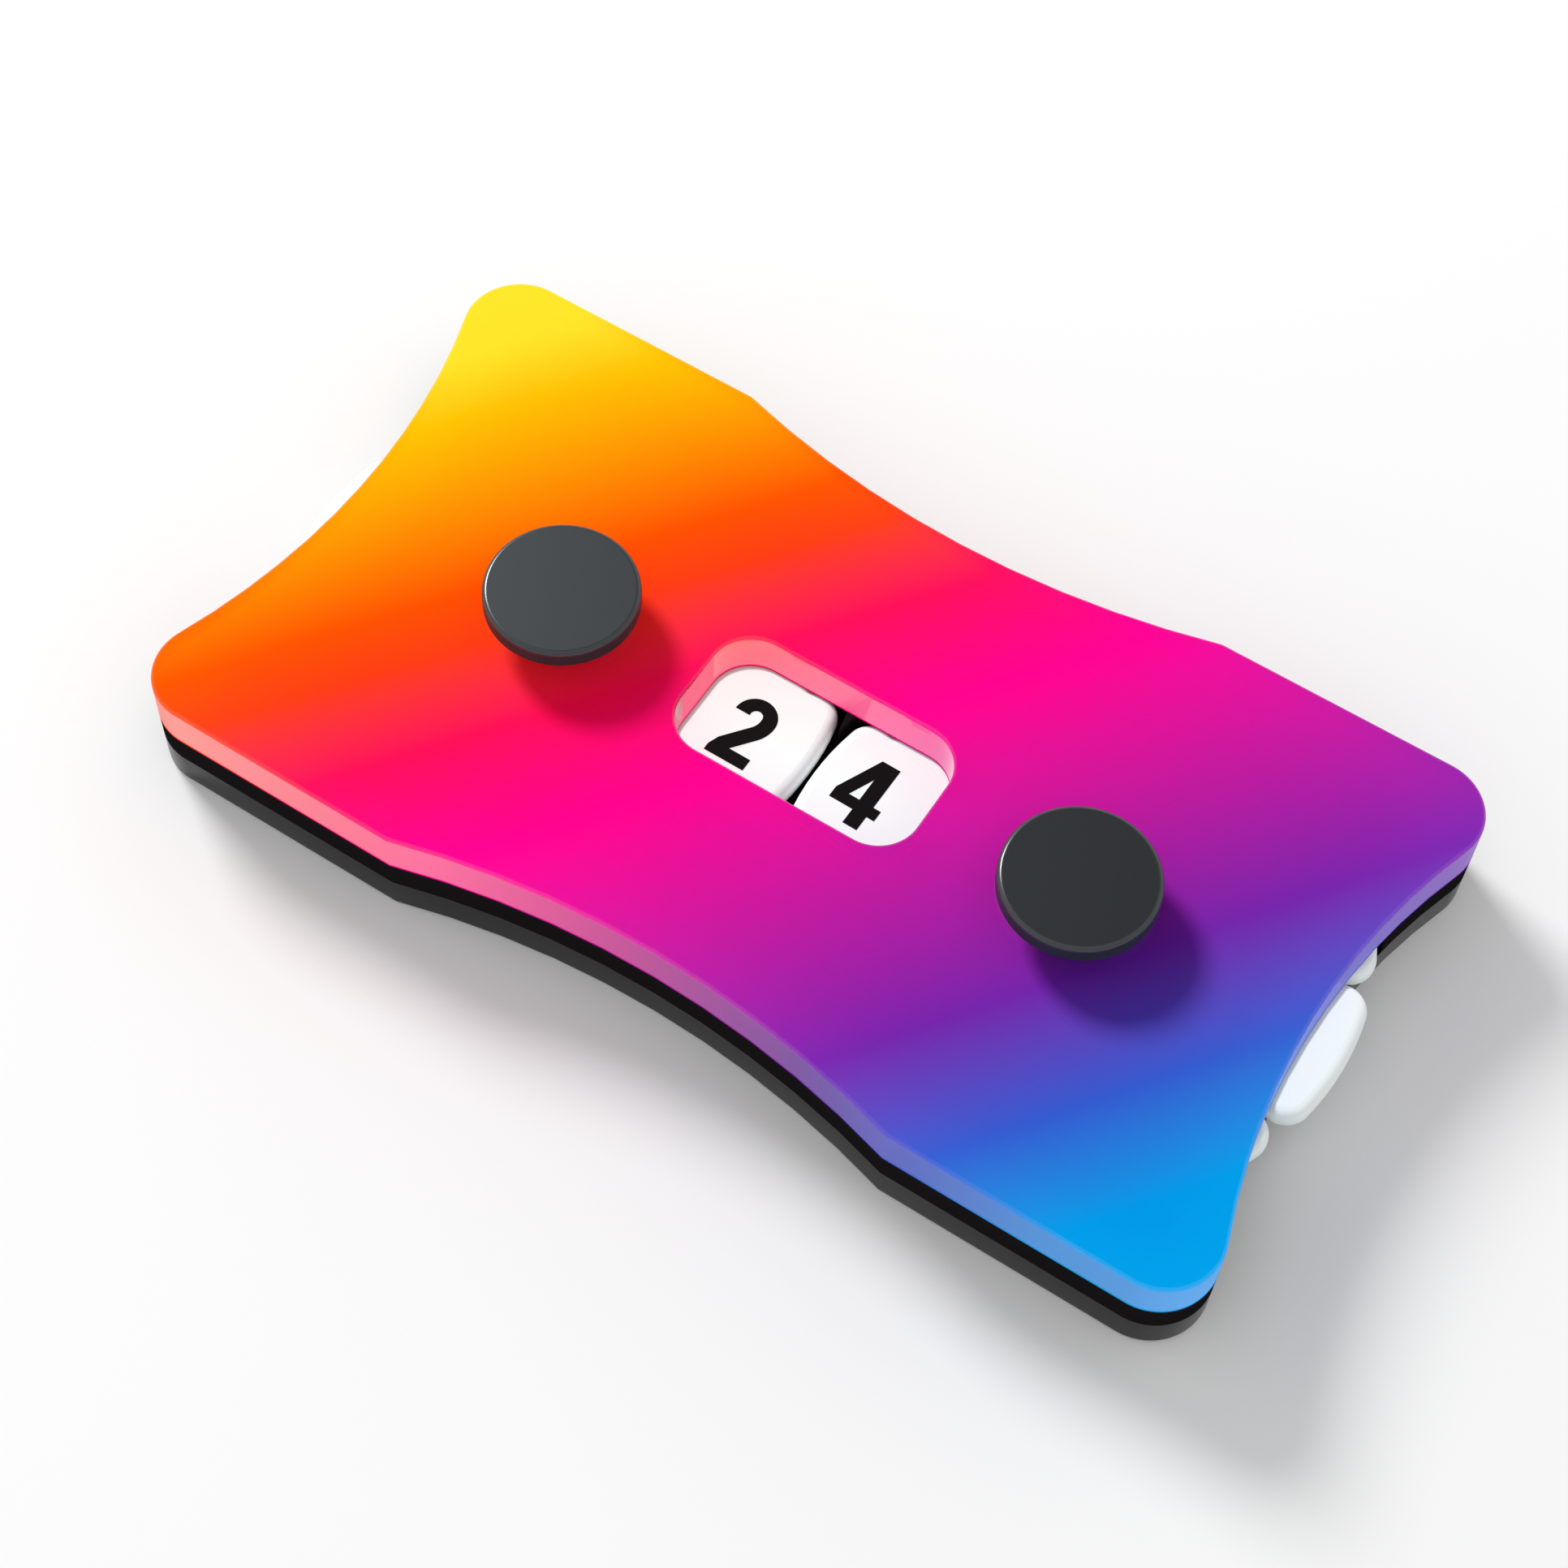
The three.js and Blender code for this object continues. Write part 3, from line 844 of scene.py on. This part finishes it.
def link_light(name, receiver, state):
    """Makes a lamp light a receiver and nothing else (INCLUDE), or everything but it (EXCLUDE)."""
    linking = bpy.data.objects[name].light_linking
    if not linking.receiver_collection:
        linking.receiver_collection = bpy.data.collections.new(f"{name}_receivers")
    receivers = linking.receiver_collection
    receivers.objects.link(receiver)
    receivers.collection_objects[len(receivers.objects) - 1].light_linking.link_state = state


class Step:
    """What all operators here share."""

    bl_options = {"REGISTER", "UNDO"}


class LIFECOUNTER_OT_stage(Step, bpy.types.Operator):
    """Pale floor, soft key light, bright studio and the camera"""

    bl_idname = "life_counter.stage"
    bl_label = "Stage"

    def execute(self, context):
        stage = context.scene.life_counter.stage
        floor = self.floor(stage)
        self.lamp("key_lamp", stage, stage.key_height, stage.key_size, stage.key_power)
        plate_lamp = self.lamp("plate_lamp", stage, stage.key_height, stage.key_size, stage.key_power)
        plate_lamp.visible_glossy = False
        plate_lamp.visible_transmission = False
        self.lamp("floor_lamp", stage, stage.floor_height, stage.floor_lamp_size, stage.floor_power)
        # Clear acrylic bends light down, so a shadow on the print is shorter than one on the floor. Each has
        # a lamp of its own at the height that gives its shadows.
        link_light("key_lamp", floor, "EXCLUDE")
        link_light("floor_lamp", floor, "INCLUDE")
        self.studio(stage)
        self.camera(stage)
        context.scene.view_settings.view_transform = "Standard"
        return {"FINISHED"}

    def floor(self, stage):
        bm = bmesh.new()
        bmesh.ops.create_grid(bm, x_segments=1, y_segments=1, size=stage.floor_size / 2)
        shift(bm, 0, 0, -CONTACT)
        mesh = baked(bm, "floor")
        material, tree = new_material("matt_paper")
        inputs = {"Base Color": stage.floor, "Roughness": 0.9, "Specular IOR Level": 0.0}
        paper = add_node(tree, "BsdfPrincipled", inputs)
        add_node(tree, "OutputMaterial", {"Surface": paper})
        mesh.materials.append(material)
        floor = add_object("floor", mesh)
        return floor

    def lamp(self, name, stage, height, size, power):
        towards = direction(stage.key_bearing, height)
        data = bpy.data.lights.new(name, "AREA")
        data.shape = "DISK"
        data.size = size
        data.energy = power
        lamp = add_object(name, data)
        lamp.location = towards * stage.key_distance
        lamp.rotation_euler = towards.to_track_quat("Z", "Y").to_euler()
        return lamp

    def studio(self, stage):
        """Bright walls, a softer ceiling, and a dark flag where the glossy face would mirror the ceiling."""
        world = bpy.data.worlds.new("studio")
        bpy.context.scene.world = world
        world.use_nodes = True
        tree = world.node_tree
        tree.nodes.clear()
        way = add_node(tree, "TexCoord").outputs["Generated"]
        stretch = {
            "Value": add_node(tree, "SeparateXYZ", {"Vector": way}).outputs["Z"],
            "From Min": stage.wall_top,
            "From Max": stage.ceiling_edge,
            "To Min": stage.sky,
            "To Max": stage.ceiling,
        }
        dome = add_node(tree, "MapRange", stretch, interpolation_type="SMOOTHSTEP")
        middle = direction(stage.flag_bearing, stage.flag_height)
        towards_flag = add_node(tree, "VectorMath", {0: way, 1: middle}, operation="DOT_PRODUCT")
        stretch = {
            "Value": towards_flag.outputs["Value"],
            "From Min": math.cos(stage.flag_reach + stage.flag_blur),
            "From Max": math.cos(stage.flag_reach),
            "To Min": 1.0,
            "To Max": stage.flag_share,
        }
        open_share = add_node(tree, "MapRange", stretch, interpolation_type="SMOOTHSTEP")
        brightness = add_node(tree, "Math", {0: dome, 1: open_share}, operation="MULTIPLY")
        shader = add_node(tree, "Background", {"Color": WHITE, "Strength": brightness})
        add_node(tree, "OutputWorld", {"Surface": shader})

    def camera(self, stage):
        back = direction(stage.camera_bearing - QUARTER, stage.camera_height)
        right = Vector((math.cos(stage.camera_bearing), math.sin(stage.camera_bearing), 0))
        level = Matrix((right, back.cross(right), back)).transposed()
        data = bpy.data.cameras.new("camera")
        data.lens = stage.lens
        data.clip_start = MM
        camera = add_object("camera", data)
        rolled = level @ Matrix.Rotation(stage.camera_roll, 3, "Z")
        camera.matrix_world = Matrix.Translation(stage.camera_place) @ rolled.to_4x4()
        bpy.context.scene.camera = camera


class LIFECOUNTER_OT_face_plate(Step, bpy.types.Operator):
    """Clear face plate with its window, polished on top and satin at the cut edges"""

    bl_idname = "life_counter.face_plate"
    bl_label = "Face plate"

    def execute(self, context):
        plates = context.scene.life_counter.plates
        levels = edge_levels(PLATE_LOW.z, PLATE_HIGH.z, 0.0, plates.face_edge)
        bm = closed(pierced_walls(plates, levels, plates.post_hole), PLATE_LOW.z, PLATE_HIGH.z)
        finishes = [
            polished_acrylic("clear_cast_acrylic_polished", veil=0.0),
            # the rim's colour is painted light: the print's glow, paled by painted lamp light more at the
            # left end
            cut_acrylic(left_painted_light=0.46, right_painted_light=0.14),
            polished_acrylic("clear_cast_acrylic_window", veil=0.22),
        ]
        rim, window = 1, 2  # their places in that list
        bm.normal_update()
        for face in bm.faces:
            if abs(face.normal.z) < STEEP:
                x, y, _ = face.calc_center_median()
                in_window = abs(x) <= plates.window_length / 2 and abs(y) <= plates.window_width / 2
                face.material_index = window if in_window else rim
        plate = add_piece("clear_face_plate", bm, "housing", ["face_plate"], finishes)
        # The polished face would mirror the key lamp as a white disc from some sides. A lamp of its own,
        # without a mirror image, lights the plate's cut edges.
        link_light("key_lamp", plate, "EXCLUDE")
        link_light("plate_lamp", plate, "INCLUDE")
        return {"FINISHED"}


class LIFECOUNTER_OT_print_film(Step, bpy.types.Operator):
    """Printed film bonded to the underside of the face plate"""

    bl_idname = "life_counter.print_film"
    bl_label = "Print film"

    def execute(self, context):
        plates = context.scene.life_counter.plates
        heights = (FILM_LOW.z, FILM_HIGH.z + CONTACT)
        inset = -CONTACT / 2  # a gap at the plate's edge would show as a pale line through the clear edge
        levels = [(z, inset) for z in heights]
        bm = closed(pierced_walls(plates, levels, plates.post_hole + inset), *heights)
        add_piece("gradient_film", bm, "housing", ["print_film"], [printed_film()])
        return {"FINISHED"}


class LIFECOUNTER_OT_middle_layer(Step, bpy.types.Operator):
    """Black spacers in front of and behind the wheels, and the adhesive under them"""

    bl_idname = "life_counter.middle_layer"
    bl_label = "Middle layer"

    def execute(self, context):
        plates = context.scene.life_counter.plates
        finish = context.scene.life_counter.finish
        black = sheet_acrylic("black_acrylic", finish.middle, roughness=0.4, gloss=0.0)
        glue = matt_polymer("transfer_adhesive", finish.seam, gloss=0.05)
        for name, side in (("front", -1), ("rear", 1)):
            heights = (SPACER_LOW.z, SPACER_HIGH.z)
            bm = closed([wall([spacer_outline(plates, side, 0.0, z) for z in heights])], *heights)
            add_piece(f"{name}_black_spacer", bm, "housing", [f"{name}_spacer"], [black])
            heights = (BACK_HIGH.z, SPACER_LOW.z)
            outlines = [spacer_outline(plates, side, plates.glue_inset, z) for z in heights]
            bm = closed([wall(outlines)], *heights)
            add_piece(f"{name}_glue_film", bm, "housing", [f"{name}_adhesive"], [glue])
        return {"FINISHED"}


class LIFECOUNTER_OT_back_plate(Step, bpy.types.Operator):
    """Dark grey back plate with the counterbores for the two screws"""

    bl_idname = "life_counter.back_plate"
    bl_label = "Back plate"

    def execute(self, context):
        plates = context.scene.life_counter.plates
        levels = edge_levels(BACK_LOW.z, BACK_HIGH.z, plates.back_edge, 0.0)
        walls = [wall([plate_outline(plates, inset, z) for z, inset in levels])]
        seat = BACK_LOW.z + plates.counterbore_depth
        hole = [
            (plates.counterbore, BACK_LOW.z),
            (plates.counterbore, seat),
            (plates.post_hole, seat),
            (plates.post_hole, BACK_HIGH.z),
        ]
        for x in PIVOTS.values():
            walls.append(wall([ring(x, radius, z) for radius, z in hole]))
        bm = closed(walls, BACK_LOW.z, BACK_HIGH.z)
        finish = context.scene.life_counter.finish
        grey = sheet_acrylic("dark_grey_acrylic", finish.back, roughness=0.25, gloss=0.15)
        add_piece("dark_back_plate", bm, "housing", ["back_plate"], [grey])
        return {"FINISHED"}


class LIFECOUNTER_OT_wheels(Step, bpy.types.Operator):
    """White number wheels and the figures printed on them"""

    bl_idname = "life_counter.wheels"
    bl_label = "Number wheels"

    def execute(self, context):
        wheels = context.scene.life_counter.wheels
        finish = context.scene.life_counter.finish
        white = moulded_plastic(finish.wheel)
        ink = printing_ink(finish.figure)
        for side in SIDES:
            self.wheel(wheels, side, white)
            self.figures(wheels, side, ink)
        return {"FINISHED"}

    def wheel(self, wheels, side, white):
        levels = edge_levels(WHEEL_LOW.z, WHEEL_HIGH.z, wheels.edge_round, wheels.edge_round)
        heights = (WHEEL_LOW.z, WHEEL_HIGH.z)
        rim = wall([petal_outline(wheels, inset, z) for z, inset in levels])
        bore = wall([ring(0.0, wheels.bore, z) for z in heights])
        bm = closed([rim, bore], *heights)
        shift(bm, PIVOTS[side], 0, 0)
        add_piece(f"{side}_number_wheel", bm, f"{side}_wheel", [f"{side}_wheel"], [white])

    def figures(self, wheels, side, ink):
        """The ten figures, which stand upright in the window as their petals come round."""
        heights = (WHEEL_HIGH.z - CONTACT, WHEEL_HIGH.z + wheels.ink)
        shown, slant = (2, wheels.left_slant) if side == "left" else (4, wheels.right_slant)
        pitch = 2 * math.pi / PETALS
        bm = bmesh.new()
        for value, loops in enumerate(figure_loops(wheels)):
            figure = closed([wall([sketch(*loop, z) for z in heights]) for loop in loops], *heights)
            if value == 9:  # a six turned round
                turn(figure, math.pi)
            if side == "left":
                shift(figure, wheels.reach, 0, 0)
            else:
                shift(figure, -wheels.reach - (wheels.shown_shift if value == shown else 0), 0, 0)
            turn(figure, pitch * (value - shown) + slant)
            placed(bm, figure)
        shift(bm, PIVOTS[side], 0, 0)
        add_piece(f"{side}_figures", bm, f"{side}_wheel", [], [ink])


class LIFECOUNTER_OT_pivot_caps(Step, bpy.types.Operator):
    """Dark metal caps, each with its post down through the wheel"""

    bl_idname = "life_counter.pivot_caps"
    bl_label = "Pivot caps"

    def execute(self, context):
        pivots = context.scene.life_counter.pivots
        finish = context.scene.life_counter.finish
        finishes = [
            anodised_aluminium(finish.cap),
            dyed_oxide("dyed_oxide_edge", finish.cap_side, roughness=0.24, gloss=0.45),
            dyed_oxide("dyed_oxide_side", finish.cap_side, roughness=0.4, gloss=0.08),
        ]
        oxide_edge, oxide_side = 1, 2  # their places in that list
        seat = PLATE_HIGH.z + CONTACT / 2
        edge_x = CAP_RADIUS - pivots.cap_edge
        edge_z = CAP_HIGH.z - pivots.cap_edge
        profile = [
            (edge_x, CAP_HIGH.z),
            ((edge_x, edge_z), -QUARTER),
            (CAP_RADIUS, seat),
            (pivots.post_radius, seat),
            (pivots.post_radius, pivots.post_end),
            (pivots.bore_radius, pivots.post_end),
            (pivots.bore_radius, pivots.bore_end),
            (0, pivots.bore_end),
        ]
        for side in SIDES:
            bm = turned((0, CAP_HIGH.z), profile)
            shift(bm, PIVOTS[side], 0, 0)
            for face in bm.faces:
                heights = [v.co.z for v in face.verts]
                if max(heights) < edge_z + WELD:
                    face.material_index = oxide_side
                elif min(heights) < CAP_HIGH.z - WELD:
                    face.material_index = oxide_edge
            add_piece(f"{side}_cap", bm, "housing", [f"{side}_pivot_cap"], finishes)
        return {"FINISHED"}


class LIFECOUNTER_OT_screws(Step, bpy.types.Operator):
    """Socket screws that hold the caps from behind"""

    bl_idname = "life_counter.screws"
    bl_label = "Pivot screws"

    def execute(self, context):
        pivots = context.scene.life_counter.pivots
        black = steel("black_oxide_steel", context.scene.life_counter.finish.screw, roughness=0.4)
        head = SCREW_LOW.z
        edge = pivots.head_edge
        profile = [
            ((SCREW_HEAD_RADIUS - edge, head + edge), QUARTER),
            (SCREW_HEAD_RADIUS, pivots.shank_start),
            (pivots.shank_radius, pivots.shank_start),
            (pivots.shank_radius, SCREW_HIGH.z),
            (0, SCREW_HIGH.z),
        ]
        for side in SIDES:
            bm = turned((SCREW_HEAD_RADIUS - edge, head), profile)
            self.socket(bm, pivots, head)
            shift(bm, PIVOTS[side], 0, 0)
            add_piece(f"{side}_screw", bm, "housing", [f"{side}_pivot_screw"], [black])
        return {"FINISHED"}

    def socket(self, bm, pivots, head):
        """Closes the open head with a flat face round a hexagon socket."""
        rim = [e for e in bm.edges if e.is_boundary]
        hexagon = bmesh.new()
        corner = pivots.socket_width / 2 / math.cos(math.pi / 6)
        bmesh.ops.create_circle(hexagon, segments=6, radius=corner)
        shift(hexagon, 0, 0, head)
        mouth = placed(bm, hexagon)
        bmesh.ops.triangle_fill(bm, edges=rim + mouth)
        walls = bmesh.ops.extrude_edge_only(bm, edges=mouth)["geom"]
        foot = [g for g in walls if isinstance(g, bmesh.types.BMVert)]
        bmesh.ops.translate(bm, verts=foot, vec=(0, 0, pivots.socket_depth))
        bmesh.ops.triangle_fill(bm, edges=[e for e in bm.edges if e.is_boundary])


class LIFECOUNTER_OT_inner_parts(Step, bpy.types.Operator):
    """Finishes for the sleeves and washers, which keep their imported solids"""

    bl_idname = "life_counter.inner_parts"
    bl_label = "Inner parts"

    def execute(self, context):
        finish = context.scene.life_counter.finish
        nylon = matt_polymer("natural_nylon", finish.nylon, gloss=0.5)
        spring = steel("spring_steel", finish.spring, roughness=0.3)
        for part, material, slot in (
            ("pivot_sleeve", nylon, "nylon"),
            ("top_washer", nylon, "nylon"),
            ("wave_washer", spring, "spring_steel"),
        ):
            for side in SIDES:
                node = frame["nodes"][f"{side}_{part}"]
                node.data.materials.clear()
                node.data.materials.append(material)
        return {"FINISHED"}


class LIFECOUNTER_PG_all(bpy.types.PropertyGroup):
    """Every setting of the counter."""

    plates: PointerProperty(type=LIFECOUNTER_PG_plates)
    wheels: PointerProperty(type=LIFECOUNTER_PG_wheels)
    pivots: PointerProperty(type=LIFECOUNTER_PG_pivots)
    finish: PointerProperty(type=LIFECOUNTER_PG_finish)
    stage: PointerProperty(type=LIFECOUNTER_PG_stage)


OPERATORS = (
    LIFECOUNTER_OT_stage,
    LIFECOUNTER_OT_face_plate,
    LIFECOUNTER_OT_print_film,
    LIFECOUNTER_OT_middle_layer,
    LIFECOUNTER_OT_back_plate,
    LIFECOUNTER_OT_wheels,
    LIFECOUNTER_OT_pivot_caps,
    LIFECOUNTER_OT_screws,
    LIFECOUNTER_OT_inner_parts,
)


class LIFECOUNTER_PT_sidebar(bpy.types.Panel):
    """Lists the operators and the sizes and colours that they read"""

    bl_idname = "LIFECOUNTER_PT_sidebar"
    bl_label = "Life Counter"
    bl_space_type = "VIEW_3D"
    bl_region_type = "UI"
    bl_category = "Life Counter"

    def draw(self, context):
        for operator in OPERATORS:
            self.layout.operator(operator.bl_idname)
        everything = context.scene.life_counter
        for group in everything.__annotations__:
            box = self.layout.box()
            box.label(text=group.capitalize())
            values = getattr(everything, group)
            for name in values.__annotations__:
                box.prop(values, name)


CLASSES = (
    LIFECOUNTER_PG_plates,
    LIFECOUNTER_PG_wheels,
    LIFECOUNTER_PG_pivots,
    LIFECOUNTER_PG_finish,
    LIFECOUNTER_PG_stage,
    LIFECOUNTER_PG_all,
    *OPERATORS,
    LIFECOUNTER_PT_sidebar,
)


def register():
    for cls in CLASSES:
        bpy.utils.register_class(cls)
    bpy.types.Scene.life_counter = PointerProperty(type=LIFECOUNTER_PG_all)


def unregister():
    del bpy.types.Scene.life_counter
    for cls in reversed(CLASSES):
        bpy.utils.unregister_class(cls)


def main():
    register()
    for operator in OPERATORS:
        group, name = operator.bl_idname.split(".")
        getattr(getattr(bpy.ops, group), name)()


if __name__ == "__main__":
    main()
